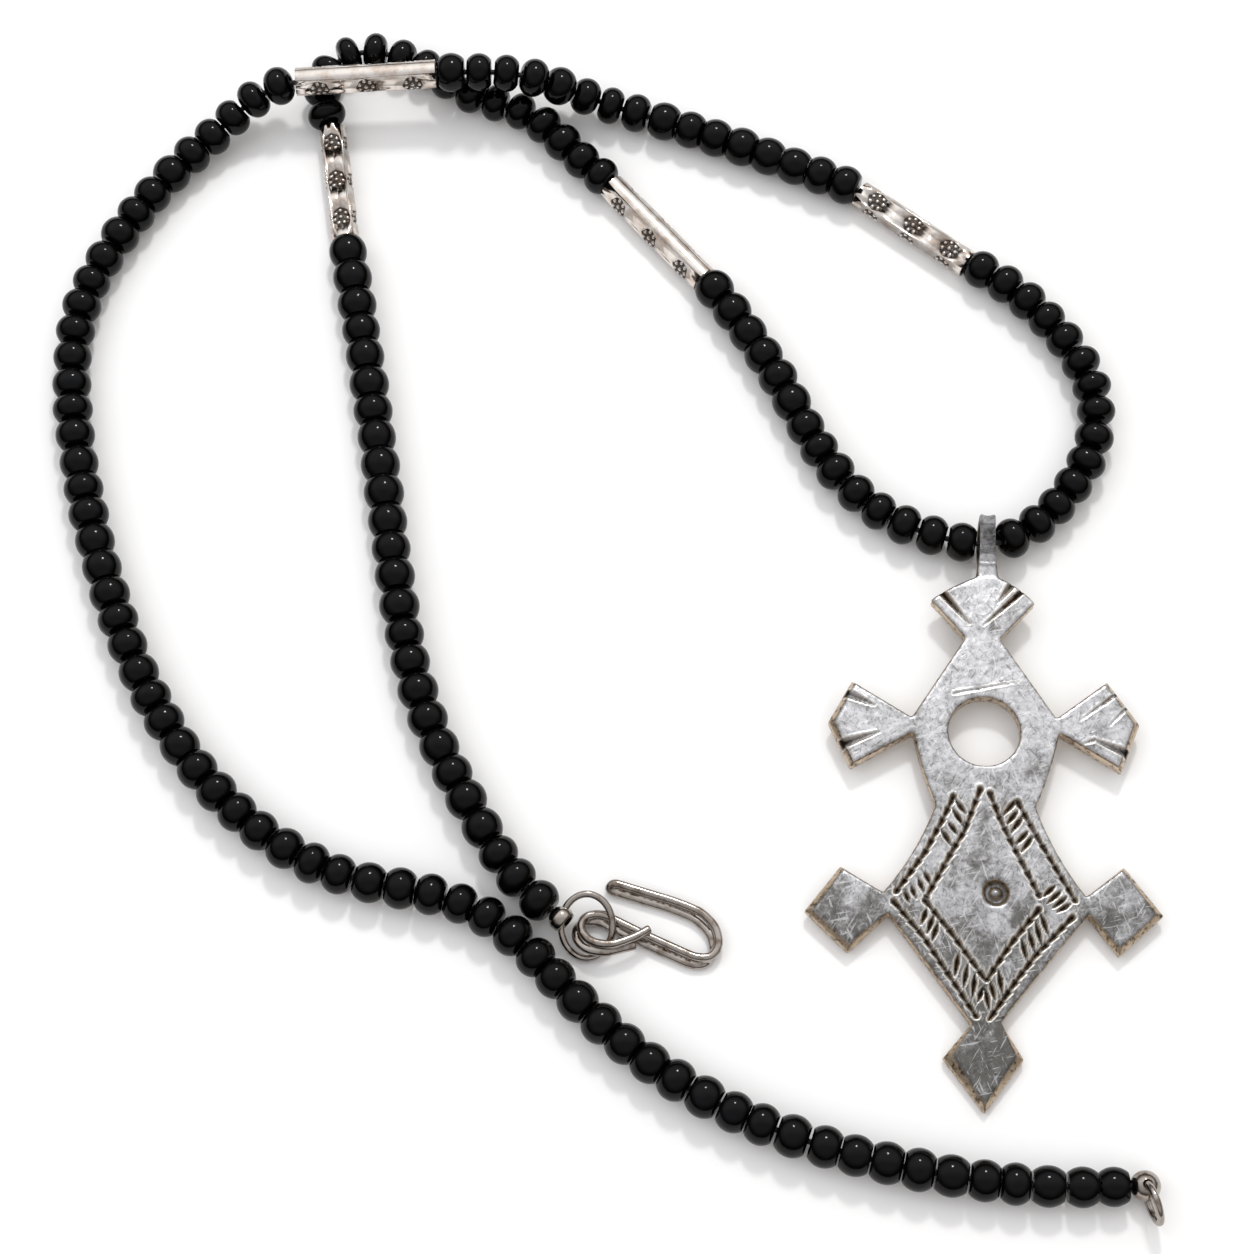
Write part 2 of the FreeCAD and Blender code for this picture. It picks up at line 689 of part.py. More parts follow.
def tube_bead(name, start, end, row_angles):
    reach = size("tube_diameter") / 2.0
    length = (end - start).Length
    floor = reach - size("stamp_depth")
    sinks = []
    dots = []
    for turn in row_angles:
        for place in range(FLOWERS_ALONG):
            along = length * (place + 0.5) / FLOWERS_ALONG
            sink, raised = stamped_flower(reach, along, 0.4 * reach)
            for shape in [sink] + raised:
                shape.rotate(Vector(0, 0, 0), UP, turn)
            sinks.append(sink)
            dots += raised
    outer = doc.addObject("Part::Cylinder", name + "_sheet")
    bind(outer, "Radius", "sizes.tube_diameter / 2")
    outer.Height = length
    stamps = feature(name + "_stamps", Part.makeCompound(sinks))
    stamped = add("Part::Cut", name + "_stamped", Base=outer, Tool=stamps)
    core = doc.addObject("Part::Cylinder", name + "_core")
    bind(core, "Radius", "sizes.tube_diameter / 2 - sizes.stamp_depth")
    core.Height = length
    raised_dots = feature(name + "_dots", Part.makeCompound(dots))
    solid = add("Part::MultiFuse", name + "_solid", Shapes=[stamped, core, raised_dots], Refine=False)
    bore = doc.addObject("Part::Cylinder", name + "_bore")
    bind(bore, "Radius", "sizes.tube_diameter / 2 - sizes.tube_wall")
    bore.Height = length + 2.0
    bore.Placement.Base = Vector(0, 0, -1.0)
    tube = add("Part::Cut", name, Base=solid, Tool=bore, Refine=False)
    axis = (end - start).normalize()
    up = UP - axis * UP.dot(axis)
    frame = FreeCAD.Rotation(up, axis.cross(up), axis, "XZY")
    tube.Placement = FreeCAD.Placement(start, frame)
    return tube


# Oval jump ring that joins the end cap to the eye of the hook
RING_CENTRE = Vector(-1.9, -50.4, 2.3)
RING_SLOPE_DEGREES = 22.8
RING_HALF_WIDTH = 3.6
RING_HALF_LENGTH = 4.5


def oval_ring(diameter):
    """Round wire bent to an oval that leans on the surface by its near side."""
    slope = math.radians(RING_SLOPE_DEGREES)
    across = Vector(1, 0, 0)
    along = Vector(0, math.cos(slope), math.sin(slope))
    normal = across.cross(along)
    far = RING_CENTRE + along * RING_HALF_LENGTH
    side = RING_CENTRE + across * RING_HALF_WIDTH
    oval = Part.Ellipse(far, side, RING_CENTRE).toShape()
    section = Part.Wire([Part.makeCircle(diameter / 2.0, far, across)])
    ring = Part.Wire([oval]).makePipeShell([section], True, True)
    if ring.Volume < 0:
        ring.reverse()
    return ring


def jump_ring():
    return feature("jump_ring", oval_ring(size("ring_wire")))


CAP_LENGTH = 2.5
CAP_WALL = 0.35


def end_cap():
    """A small cup of sheet silver over the knot, open towards the ring that passes through it."""
    radius = size("cap_diameter") / 2.0
    thread_hole = size("thread_diameter") / 2.0 + size("fitting_gap")
    profile = [
        (0.0, thread_hole),
        (0.0, 0.9),
        (0.45, radius - 0.4),
        (1.1, radius),
        (1.9, radius),
        (CAP_LENGTH, radius - 0.25),
        (CAP_LENGTH, radius - 0.25 - CAP_WALL),
        (1.9, radius - CAP_WALL),
        (1.1, radius - CAP_WALL),
        (CAP_WALL + 0.2, radius - 0.4 - CAP_WALL),
        (CAP_WALL, thread_hole),
    ]
    corners = [Vector(out, 0, along) for along, out in profile]
    cup = Part.Face(Part.makePolygon(corners + [corners[0]])).revolve(Vector(0, 0, 0), UP, 360)
    if cup.Volume < 0:
        cup.reverse()
    cup.Placement = FreeCAD.Placement(CAP_START, FreeCAD.Rotation(UP, CAP_AXIS))
    cup_blank = feature("cap_cup", cup)
    slot = feature("cap_slot", oval_ring(size("ring_wire") + 2 * size("fitting_gap")))
    return add("Part::Cut", "end_cap", Base=cup_blank, Tool=slot, Refine=False)


# Upper wire of the doubled hook, from the tip round the bend and the eye to its end
HOOK_ROUTE = [
    (1.7, -43.8, 1.5),
    (10.9, -46.7, 1.5),
    (14.3, -48.2, 1.5),
    (16.2, -50.4, 1.5),
    (16.6, -52.9, 1.5),
    (15.5, -54.7, 1.5),
    (13.3, -54.7, 1.5),
    (5.6, -51.1, 1.5),
    (0.2, -48.3, 1.5),
    (-2.3, -48.75, 1.8),
    (-2.9, -50.9, 2.6),
    (-1.5, -52.9, 3.3),
    (1.3, -53.5, 3.5),
    (4.4, -52.4, 3.2),
    (6.9, -50.9, 2.9),
]
LOWER_WIRE_OFFSET = Vector(-0.75, -0.85, -0.9)
LOWER_END = Vector(4.9, -53.15, 2.2)


def hook():
    """A long hook of one wire folded double, its two ends wrapped into an eye."""
    upper = [Vector(*point) for point in HOOK_ROUTE]
    lower = [point + LOWER_WIRE_OFFSET for point in upper[:-2]]
    lower.append(LOWER_END)
    lower.reverse()
    return feature("hook", swept_wire(lower + upper, size("hook_wire")))


# Closing ring that stands on edge, held in the ball
END_RING_HEADING = Vector(0.29, -0.957, 0.0)
END_RING_RADIUS = 2.7


def end_ring_centre():
    wire = size("ring_wire") / 2.0
    height = END_RING_RADIUS + wire
    rise = height - BALL_CENTRE.z
    away = math.sqrt(END_RING_RADIUS ** 2 - rise ** 2)
    return Vector(BALL_CENTRE.x, BALL_CENTRE.y, height) + END_RING_HEADING * away


def round_ring(name, diameter_formula):
    ring = doc.addObject("Part::Torus", name)
    ring.Radius1 = END_RING_RADIUS
    bind(ring, "Radius2", diameter_formula)
    axis = END_RING_HEADING.cross(UP)
    ring.Placement = FreeCAD.Placement(end_ring_centre(), FreeCAD.Rotation(UP, axis))
    return ring


def end_ball():
    ball = doc.addObject("Part::Sphere", "ball_blank")
    bind(ball, "Radius", "sizes.ball_diameter / 2")
    ball.Placement.Base = BALL_CENTRE
    hole = doc.addObject("Part::Cylinder", "ball_thread_hole")
    bind(hole, "Radius", "sizes.thread_diameter / 2 + 2 * sizes.fitting_gap")
    hole.Height = THREAD_IN_BALL + 1.25
    left = Vector(-size("ball_diameter") / 2.0 - 1.0, 0, 0.2)
    hole.Placement = FreeCAD.Placement(BALL_CENTRE + left, FreeCAD.Rotation(Vector(0, 1, 0), 90))
    slot = round_ring("ball_ring_slot", "sizes.ring_wire / 2 + sizes.fitting_gap")
    tools = add("Part::MultiFuse", "ball_cutters", Shapes=[hole, slot], Refine=False)
    return add("Part::Cut", "end_ball", Base=ball, Tool=tools, Refine=False)


NODES = [
    cross_pendant(),
    thread(),
    bead_string("hook_side_beads", ["cap_to_tube_1", "tube_1_to_tube_2", "tube_2_to_bail"]),
    bead_string("ring_side_beads", ["bail_to_tube_3", "tube_3_to_tube_4", "tube_4_to_ball"]),
    jump_ring(),
    end_cap(),
    hook(),
    end_ball(),
    round_ring("end_ring", "sizes.ring_wire / 2"),
]
for tube_name, (tube_start, tube_end, row_angles) in TUBES.items():
    NODES.append(tube_bead(tube_name, tube_start, tube_end, row_angles))

for node in NODES:
    node.Label = node.Name
    node.Placement.Base = node.Placement.Base + TO_ORIGIN
doc.recompute()

for item in doc.Objects:
    if "Invalid" in item.State or "Error" in item.State:
        raise RuntimeError("%s did not recompute: %s" % (item.Name, item.State))

os.makedirs("parts", exist_ok=True)
whole = FreeCAD.BoundBox()
for node in NODES:
    if node.Shape.isNull() or not node.Shape.isValid():
        raise RuntimeError("%s has no valid shape" % node.Name)
    box = node.Shape.BoundBox
    whole.add(box)
    print(
        "%-16s solids %3d faces %4d volume %8.1f  x %.1f to %.1f  y %.1f to %.1f  z %.2f to %.2f"
        % (
            node.Name, len(node.Shape.Solids), len(node.Shape.Faces), node.Shape.Volume,
            box.XMin, box.XMax, box.YMin, box.YMax, box.ZMin, box.ZMax,
        )
    )
    node.Shape.exportStep("parts/%s.step" % node.Name)
print(
    "whole x %.2f to %.2f, y %.2f to %.2f, z %.3f to %.3f"
    % (whole.XMin, whole.XMax, whole.YMin, whole.YMax, whole.ZMin, whole.ZMax)
)
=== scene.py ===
# %% [markdown]
# # A silver cross on a string of black glass beads
# The necklace lies open on a pale table: a cast and chiselled silver cross, black glass
# beads, four stamped silver tubes and a wire hook that closes in a small ring.
# The solids come from the CAD frame. This lesson dresses them: smooth glass, worn silver,
# black oxide in every cut, and the soft light of a small studio.

# %% Tools and the frame
import math

import bmesh
import bpy
import numpy as np
from mathutils import Matrix, Vector


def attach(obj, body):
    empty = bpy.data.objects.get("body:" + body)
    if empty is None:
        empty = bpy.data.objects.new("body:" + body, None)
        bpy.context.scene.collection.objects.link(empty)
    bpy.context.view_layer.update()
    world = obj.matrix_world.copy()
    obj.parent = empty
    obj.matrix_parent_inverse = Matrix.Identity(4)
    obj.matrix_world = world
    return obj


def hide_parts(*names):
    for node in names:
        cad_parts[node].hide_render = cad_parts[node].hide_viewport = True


MM = 0.001
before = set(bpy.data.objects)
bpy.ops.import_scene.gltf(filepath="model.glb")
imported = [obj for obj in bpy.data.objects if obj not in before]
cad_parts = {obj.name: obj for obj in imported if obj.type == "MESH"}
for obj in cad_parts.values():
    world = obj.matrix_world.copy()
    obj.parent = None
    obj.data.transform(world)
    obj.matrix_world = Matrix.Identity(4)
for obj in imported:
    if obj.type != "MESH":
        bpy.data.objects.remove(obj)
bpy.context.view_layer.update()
print("nodes:", ", ".join(sorted(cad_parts)))


# %% [markdown]
# ## The view
# The picture is taken from above, 22 degrees off the vertical, with a long lens, so the
# strands keep their size from the near edge to the far one. The camera looks at a point on
# the table near the middle of the necklace, from 432 mm away.

# %% Camera
VIEW_TILT = math.radians(22.0)
VIEW_DISTANCE = 432 * MM
LOOK_AT = Vector((5.65 * MM, -5.7 * MM, 0.0))

camera_data = bpy.data.cameras.new("long_lens")
camera_data.sensor_width = 36.0
camera_data.lens = 85.0
camera_data.clip_end = 20.0
camera = bpy.data.objects.new("camera", camera_data)
camera.location = LOOK_AT + Vector((0, -math.sin(VIEW_TILT), math.cos(VIEW_TILT))) * VIEW_DISTANCE
camera.rotation_euler = (VIEW_TILT, 0, 0)
bpy.context.scene.collection.objects.link(camera)
bpy.context.scene.camera = camera
print("camera at", [round(value, 3) for value in camera.location])


# %% [markdown]
# ## Small helpers for materials
# Colours are written as they look on a screen and turned to the linear values that the
# shader needs. One function adds a node, with its settings and what goes into its sockets.
# Every pattern reads Object coordinates, scaled to millimetres, so that a size in a
# texture is a real size.

# %% Colour and node helpers
def linear(hex_text):
    """An sRGB hex colour as linear red, green, blue and alpha."""
    channels = [int(hex_text[i:i + 2], 16) / 255.0 for i in (1, 3, 5)]
    turned = [c / 12.92 if c <= 0.04045 else ((c + 0.055) / 1.055) ** 2.4 for c in channels]
    return (*turned, 1.0)


def add_node(tree, kind, settings=None, inputs=None):
    """A new node; a socket given as an input is linked, anything else is set."""
    node = tree.nodes.new(kind)
    for name, value in (settings or {}).items():
        setattr(node, name, value)
    for name, value in (inputs or {}).items():
        if isinstance(value, bpy.types.NodeSocket):
            tree.links.new(value, node.inputs[name])
        else:
            node.inputs[name].default_value = value
    return node


def new_material(name):
    material = bpy.data.materials.new(name)
    material.use_nodes = True
    tree = material.node_tree
    shader = tree.nodes["Principled BSDF"]
    coords = add_node(tree, "ShaderNodeTexCoord")
    in_mm = add_node(tree, "ShaderNodeVectorMath", {"operation": "SCALE"}, {0: coords.outputs["Object"]})
    in_mm.inputs["Scale"].default_value = 1.0 / MM
    return material, tree, shader, in_mm.outputs["Vector"]


def noise_at(tree, where, size_mm, detail=3.0, roughness=0.5, distortion=0.0):
    """Cloudy noise whose blotches are about size_mm across."""
    texture = add_node(tree, "ShaderNodeTexNoise", None, {"Vector": where, "Scale": 1.0 / size_mm})
    texture.inputs["Detail"].default_value = detail
    texture.inputs["Roughness"].default_value = roughness
    texture.inputs["Distortion"].default_value = distortion
    return texture.outputs["Fac"]


def remap(tree, value, low, high, new_low=0.0, new_high=1.0):
    node = add_node(tree, "ShaderNodeMapRange", {"interpolation_type": "SMOOTHSTEP"}, {"Value": value})
    node.inputs["From Min"].default_value = low
    node.inputs["From Max"].default_value = high
    node.inputs["To Min"].default_value = new_low
    node.inputs["To Max"].default_value = new_high
    return node.outputs["Result"]


def mix_colour(tree, factor, first, second, blend="MIX"):
    node = add_node(tree, "ShaderNodeMix", {"data_type": "RGBA", "blend_type": blend})
    for index, value in ((0, factor), (6, first), (7, second)):
        if isinstance(value, bpy.types.NodeSocket):
            tree.links.new(value, node.inputs[index])
        else:
            node.inputs[index].default_value = value
    return node.outputs[2]


def maths(tree, operation, first, second=0.0):
    node = add_node(tree, "ShaderNodeMath", {"operation": operation}, {0: first, 1: second})
    return node.outputs[0]


def weigh(tree, value, weight):
    return maths(tree, "MULTIPLY", value, weight)


# %% [markdown]
# ## Cast silver, hammered and worn
# The cross was cast in sand, filed, and chiselled by hand. Silver is a metal, so its colour
# is all in its reflections: near white where it is rubbed, grey where it has tarnished, and
# black where oxide sits in the cuts. The face is covered with fine crossing scratches, dark
# and bright, and with faint dents about 1 mm wide. Cut edges and walls keep a warm brown film.

# %% Cast silver
def crossing_scratches(tree, where, turn, spacing_mm, length_mm, offset):
    """Thin straight scratches in one direction: noise stretched along it, cut to fine lines."""
    mapping = add_node(tree, "ShaderNodeMapping", {"vector_type": "TEXTURE"}, {"Vector": where})
    mapping.inputs["Rotation"].default_value = (0, 0, math.radians(turn))
    mapping.inputs["Location"].default_value = (offset, -offset, 0)
    mapping.inputs["Scale"].default_value = (length_mm, spacing_mm, 5.0)
    lines = add_node(tree, "ShaderNodeTexNoise", None, {"Vector": mapping.outputs["Vector"], "Scale": 1.0})
    lines.inputs["Detail"].default_value = 2.0
    return remap(tree, lines.outputs["Fac"], 0.62, 0.68)


def cast_silver():
    material, tree, shader, where = new_material("cast_silver_with_oxide")
    blotches = noise_at(tree, where, 4.5, 5.0, 0.6, 0.4)
    grain = noise_at(tree, where, 0.7, 4.0, 0.65)
    dents = add_node(
        tree,
        "ShaderNodeTexVoronoi",
        {"feature": "SMOOTH_F1"},
        {"Vector": where, "Scale": 0.85, "Smoothness": 0.6},
    )
    warped = add_node(
        tree, "ShaderNodeVectorMath", {"operation": "MULTIPLY_ADD"}, {1: (0.9, 0.9, 0.9), 2: where}
    )
    warp = add_node(tree, "ShaderNodeTexNoise", None, {"Vector": where, "Scale": 0.6})
    tree.links.new(warp.outputs["Color"], warped.inputs[0])
    seams = add_node(
        tree,
        "ShaderNodeTexVoronoi",
        {"feature": "DISTANCE_TO_EDGE"},
        {"Vector": warped.outputs["Vector"], "Scale": 0.75},
    )
    crackle = remap(tree, seams.outputs["Distance"], 0.0, 0.09, 1.0, 0.0)
    scratches = crossing_scratches(tree, where, 35, 0.3, 3.5, 0.0)
    for turn, spacing, length, offset in ((-50, 0.35, 3.0, 7.0), (80, 0.3, 4.0, 13.0)):
        more = crossing_scratches(tree, where, turn, spacing, length, offset)
        scratches = maths(tree, "MAXIMUM", scratches, more)
    bright_lines = crossing_scratches(tree, where, 12, 0.35, 3.0, 21.0)
    for turn, spacing, length, offset in ((58, 0.3, 3.0, 33.0), (-72, 0.35, 2.5, 41.0)):
        more = crossing_scratches(tree, where, turn, spacing, length, offset)
        bright_lines = maths(tree, "MAXIMUM", bright_lines, more)

    place = add_node(tree, "ShaderNodeSeparateXYZ", None, {"Vector": where})
    # Painted shade: the plate turns darker towards its lower end. This is added to the real tarnish
    # blotches.
    lower_end = remap(tree, place.outputs["Y"], -20.0, -78.0)
    tarnish_and_painted_shade = maths(tree, "ADD", weigh(tree, blotches, 0.75), weigh(tree, grain, 0.35))
    tarnish_and_painted_shade = maths(tree, "ADD", tarnish_and_painted_shade, weigh(tree, lower_end, 0.24))
    tarnish_and_painted_shade = remap(tree, tarnish_and_painted_shade, 0.44, 0.80)
    marks = maths(tree, "MAXIMUM", weigh(tree, crackle, 0.4), weigh(tree, scratches, 0.6))
    marks = maths(tree, "MULTIPLY", marks, remap(tree, grain, 0.35, 0.6))
    silver = mix_colour(tree, tarnish_and_painted_shade, linear("#C2C2C5"), linear("#62605D"))
    silver = mix_colour(tree, marks, silver, linear("#4C4946"))
    silver = mix_colour(tree, weigh(tree, bright_lines, 0.35), silver, linear("#E4E4E6"))

    coords = add_node(tree, "ShaderNodeTexCoord")
    facing = add_node(tree, "ShaderNodeSeparateXYZ", None, {"Vector": coords.outputs["Normal"]})
    upright = remap(tree, facing.outputs["Z"], 0.95, 0.72)
    film = mix_colour(tree, remap(tree, grain, 0.48, 0.66), linear("#C9B59B"), linear("#5E4C3B"))
    silver = mix_colour(tree, weigh(tree, upright, 0.85), silver, film)
    oxide = add_node(tree, "ShaderNodeAttribute", {"attribute_name": "oxide"})
    silver = mix_colour(tree, oxide.outputs["Fac"], silver, linear("#1A140F"))
    # Painted highlight: the burrs beside the strokes turn near white, partly as rubbed silver.
    rubbed_and_painted_highlight = add_node(tree, "ShaderNodeAttribute", {"attribute_name": "rubbed_and_painted_highlight"})
    silver = mix_colour(tree, rubbed_and_painted_highlight.outputs["Fac"], silver, linear("#E9E5DE"))
    tree.links.new(silver, shader.inputs["Base Color"])
    shader.inputs["Metallic"].default_value = 1.0
    dull = remap(tree, tarnish_and_painted_shade, 0.0, 1.0, 0.3, 0.42)
    dull = maths(tree, "ADD", dull, weigh(tree, oxide.outputs["Fac"], 0.25))
    tree.links.new(dull, shader.inputs["Roughness"])

    height = weigh(tree, dents.outputs["Distance"], 0.035)
    height = maths(tree, "SUBTRACT", height, weigh(tree, marks, 0.012))
    height = maths(tree, "ADD", height, weigh(tree, grain, 0.01))
    bump = add_node(tree, "ShaderNodeBump", None, {"Height": height, "Strength": 0.9, "Distance": MM})
    tree.links.new(bump.outputs["Normal"], shader.inputs["Normal"])
    return material


silver_of_the_cross = cast_silver()
print("made", silver_of_the_cross.name)


# %% [markdown]
# ## Polished sheet silver, wire, glass and thread
# The tubes are rolled from thin polished sheet and stamped, so they are brighter and
# smoother than the cross, with oxide left only in the stamps. The hook and rings are
# polished wire. The beads are black glass: almost no colour of their own, a sharp small
# highlight and a pale rim where they mirror the table.

# %% Sheet silver and polished wire
def sheet_silver():
    material, tree, shader, where = new_material("polished_sheet_silver")
    cloud = noise_at(tree, where, 2.2, 4.0, 0.55)
    fine = noise_at(tree, where, 0.25, 2.0)
    colour = mix_colour(tree, remap(tree, cloud, 0.35, 0.7), linear("#E9E3DD"), linear("#C6B5A8"))
    oxide = add_node(tree, "ShaderNodeAttribute", {"attribute_name": "oxide"})
    colour = mix_colour(tree, oxide.outputs["Fac"], colour, linear("#2A211B"))
    tree.links.new(colour, shader.inputs["Base Color"])
    shader.inputs["Metallic"].default_value = 1.0
    shine = remap(tree, cloud, 0.3, 0.7, 0.12, 0.2)
    shine = maths(tree, "ADD", shine, weigh(tree, oxide.outputs["Fac"], 0.3))
    tree.links.new(shine, shader.inputs["Roughness"])
    height = maths(tree, "ADD", weigh(tree, cloud, 0.012), weigh(tree, fine, 0.001))
    bump = add_node(tree, "ShaderNodeBump", None, {"Height": height, "Strength": 0.7, "Distance": MM})
    tree.links.new(bump.outputs["Normal"], shader.inputs["Normal"])
    return material


def polished_wire():
    material, tree, shader, where = new_material("polished_wire")
    cloud = noise_at(tree, where, 1.5, 3.0)
    fine = noise_at(tree, where, 0.2, 2.0)
    colour = mix_colour(tree, remap(tree, cloud, 0.45, 0.75), linear("#ABA39C"), linear("#77685C"))
    tree.links.new(colour, shader.inputs["Base Color"])
    shader.inputs["Metallic"].default_value = 1.0
    tree.links.new(remap(tree, fine, 0.3, 0.7, 0.14, 0.22), shader.inputs["Roughness"])
    bump = add_node(tree, "ShaderNodeBump", None, {"Height": weigh(tree, cloud, 0.008), "Distance": MM})
    tree.links.new(bump.outputs["Normal"], shader.inputs["Normal"])
    return material


silver_of_the_tubes = sheet_silver()
wire_metal = polished_wire()


# %% Glass and thread
def black_glass():
    material, tree, shader, where = new_material("black_glass")
    flow = noise_at(tree, where, 1.8, 2.0)
    dust = noise_at(tree, where, 0.3, 3.0)
    colour = mix_colour(tree, remap(tree, flow, 0.45, 0.75), linear("#020202"), linear("#06070A"))
    tree.links.new(colour, shader.inputs["Base Color"])
    tree.links.new(remap(tree, dust, 0.45, 0.75, 0.09, 0.16), shader.inputs["Roughness"])
    shader.inputs["IOR"].default_value = 1.52
    shader.inputs["Specular IOR Level"].default_value = 0.15
    bump = add_node(tree, "ShaderNodeBump", None, {"Height": weigh(tree, flow, 0.03), "Distance": MM})
    tree.links.new(bump.outputs["Normal"], shader.inputs["Normal"])
    return material


def waxed_thread():
    material, tree, shader, where = new_material("waxed_thread")
    fibre = noise_at(tree, where, 0.15, 2.0)
    colour = mix_colour(tree, fibre, linear("#0B0A0A"), linear("#1C1A19"))
    tree.links.new(colour, shader.inputs["Base Color"])
    shader.inputs["Roughness"].default_value = 0.6
    bump = add_node(tree, "ShaderNodeBump", None, {"Height": weigh(tree, fibre, 0.05), "Distance": MM})
    tree.links.new(bump.outputs["Normal"], shader.inputs["Normal"])
    return material


glass = black_glass()
thread_finish = waxed_thread()
print("materials:", len(bpy.data.materials))


# %% [markdown]
# ## Taking a solid from the frame
# A CAD node arrives as loose triangles. A copy is merged into one skin, so that it can be
# smoothed or shaded as one surface, and the copy then stands for the node.

# %% Copies of CAD nodes
def merged_copy(node_name):
    """The node's mesh as one skin, in millimetres."""
    work = bmesh.new()
    work.from_mesh(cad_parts[node_name].data)
    bmesh.ops.scale(work, vec=(1 / MM, 1 / MM, 1 / MM), verts=work.verts)
    bmesh.ops.remove_doubles(work, verts=work.verts, dist=0.0005)
    return work


def finish_piece(work, name, material, slot_name, *stands_for, sharp=None):
    """Turns a bmesh in millimetres into a piece of the necklace."""
    bmesh.ops.scale(work, vec=(MM, MM, MM), verts=work.verts)
    mesh = bpy.data.meshes.new(name)
    work.to_mesh(mesh)
    work.free()
    mesh.shade_smooth()
    if sharp is not None:
        mesh.set_sharp_from_angle(angle=math.radians(sharp))
    mesh.materials.append(material)
    piece = bpy.data.objects.new(name, mesh)
    bpy.context.scene.collection.objects.link(piece)
    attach(piece, "root")
    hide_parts(*stands_for)
    print(name, "has", sum(len(face.vertices) - 2 for face in mesh.polygons), "triangles")
    return piece


# %% [markdown]
# ## The glass beads
# Each bead was wound hot and is round outside with flat ends. A bead is one turned
# profile, so spin is the right tool: draw half the outline, turn it round the axis. The
# frame says where every bead is: the flat ends of its solid share one normal, the axis.

# %% Where each bead lies
def bead_places(node_name):
    """For each bead of a string: centre, axis, length, outer radius and flat radius."""
    work = merged_copy(node_name)
    seen = set()
    places = []
    for seed in work.verts:
        if seed in seen:
            continue
        island = [seed]
        seen.add(seed)
        for vert in island:
            for edge in vert.link_edges:
                other = edge.other_vert(vert)
                if other not in seen:
                    seen.add(other)
                    island.append(other)
        places.append(measure_bead(island))
    work.free()
    return places


def measure_bead(island):
    groups = {}
    for face in {face for vert in island for face in vert.link_faces}:
        normal = face.normal
        lead = max(range(3), key=lambda axis: abs(normal[axis]))
        if normal[lead] < 0:
            normal = -normal
        key = tuple(round(value, 2) for value in normal)
        groups.setdefault(key, []).append((normal.copy(), face))
    ends = max(groups.values(), key=len)
    axis = sum((normal for normal, face in ends), Vector()).normalized()
    rim = {vert for normal, face in ends for vert in face.verts}
    middle = sum((vert.co for vert in rim), Vector()) / len(rim)
    along = [(vert.co - middle).dot(axis) for vert in island]
    centre = middle + axis * (min(along) + max(along)) / 2
    reach = [((vert.co - centre) - axis * (vert.co - centre).dot(axis)).length for vert in island]
    flat = max(((vert.co - centre) - axis * (vert.co - centre).dot(axis)).length for vert in rim)
    return centre, axis, max(along) - min(along), max(reach), flat


strings = {name: bead_places(name) for name in ("hook_side_beads", "ring_side_beads")}
for name, places in strings.items():
    lengths = [place[2] for place in places]
    print(name, len(places), "beads, lengths", round(min(lengths), 2), "to", round(max(lengths), 2))


# %% Spinning the beads
BORE_RADIUS = 0.75
BORE_LIP = 0.25
FULLER_END = 0.05
PROFILE_STEPS = 9
SPIN_STEPS = 30


def add_bead(string, centre, axis, length, radius, flat):
    """Half an outline from bore to bore, spun once round the bead's axis."""
    half = length / 2 + FULLER_END
    depth = radius - flat
    side_radius = (depth ** 2 + half ** 2) / (2 * depth)
    side = Vector((0, 0, 1)).cross(axis).normalized()
    sweep = math.asin(min(1.0, half / side_radius))
    if side_radius < half:
        sweep = math.pi / 2
    outline = [(-half, BORE_RADIUS), (-half, BORE_RADIUS + BORE_LIP)]
    for step in range(PROFILE_STEPS + 1):
        angle = -sweep + 2 * sweep * step / PROFILE_STEPS
        along = side_radius * math.sin(angle)
        out = radius - side_radius + side_radius * math.cos(angle)
        outline.append((along, out))
    outline += [(half, BORE_RADIUS + BORE_LIP), (half, BORE_RADIUS)]
    verts = [string.verts.new(centre + axis * along + side * out) for along, out in outline]
    edges = [string.edges.new(pair) for pair in zip(verts, verts[1:])]
    bmesh.ops.spin(
        string,
        geom=verts + edges,
        cent=centre,
        axis=axis,
        angle=2 * math.pi,
        steps=SPIN_STEPS,
        use_merge=True,
        use_duplicate=False,
    )


for name, places in strings.items():
    string = bmesh.new()
    for place in places:
        add_bead(string, *place)
    bmesh.ops.recalc_face_normals(string, faces=string.faces)
    finish_piece(string, name.replace("_beads", "_glass"), glass, "dark_glass", name, sharp=50)

thread_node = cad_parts["thread"]
thread_node.data.materials.clear()
thread_node.data.materials.append(thread_finish)


# %% [markdown]
# ## The cross
# The solid gives the outline, the bevels, the hole and the first cuts. To look like worked
# silver it needs soft worn edges and crisp chisel work, so its skin is remeshed evenly, in
# the plate's own flat position, rubbed round with a little smoothing, and then the chisel
# strokes are cut into the top as real grooves with a raised burr on both sides.

# %% The plate's own position
CROSS_TIP = Vector((54.45, -77.7, 0.0))
CROSS_PLACE = (
    Matrix.Translation(CROSS_TIP)
    @ Matrix.Rotation(math.radians(-2.6), 4, "Z")
    @ Matrix.Rotation(math.radians(1.98), 4, "X")
)
PLATE_TOP = 2.2
SKIN_STEP = 0.2
SKIN_RUBS = 3


def even_skin(work, step):
    """Voxel remesh of a bmesh: an even net of quads, step millimetres apart."""
    mesh = bpy.data.meshes.new("skin_source")
    work.to_mesh(mesh)
    work.free()
    holder = bpy.data.objects.new("skin_source", mesh)
    bpy.context.scene.collection.objects.link(holder)
    remesh = holder.modifiers.new("even_skin", "REMESH")
    remesh.mode = "VOXEL"
    remesh.voxel_size = step
    bpy.context.view_layer.update()
    evaluated = holder.evaluated_get(bpy.context.evaluated_depsgraph_get())
    skin = bmesh.new()
    skin.from_mesh(evaluated.to_mesh())
    evaluated.to_mesh_clear()
    bpy.data.objects.remove(holder)
    bpy.data.meshes.remove(mesh)
    return skin


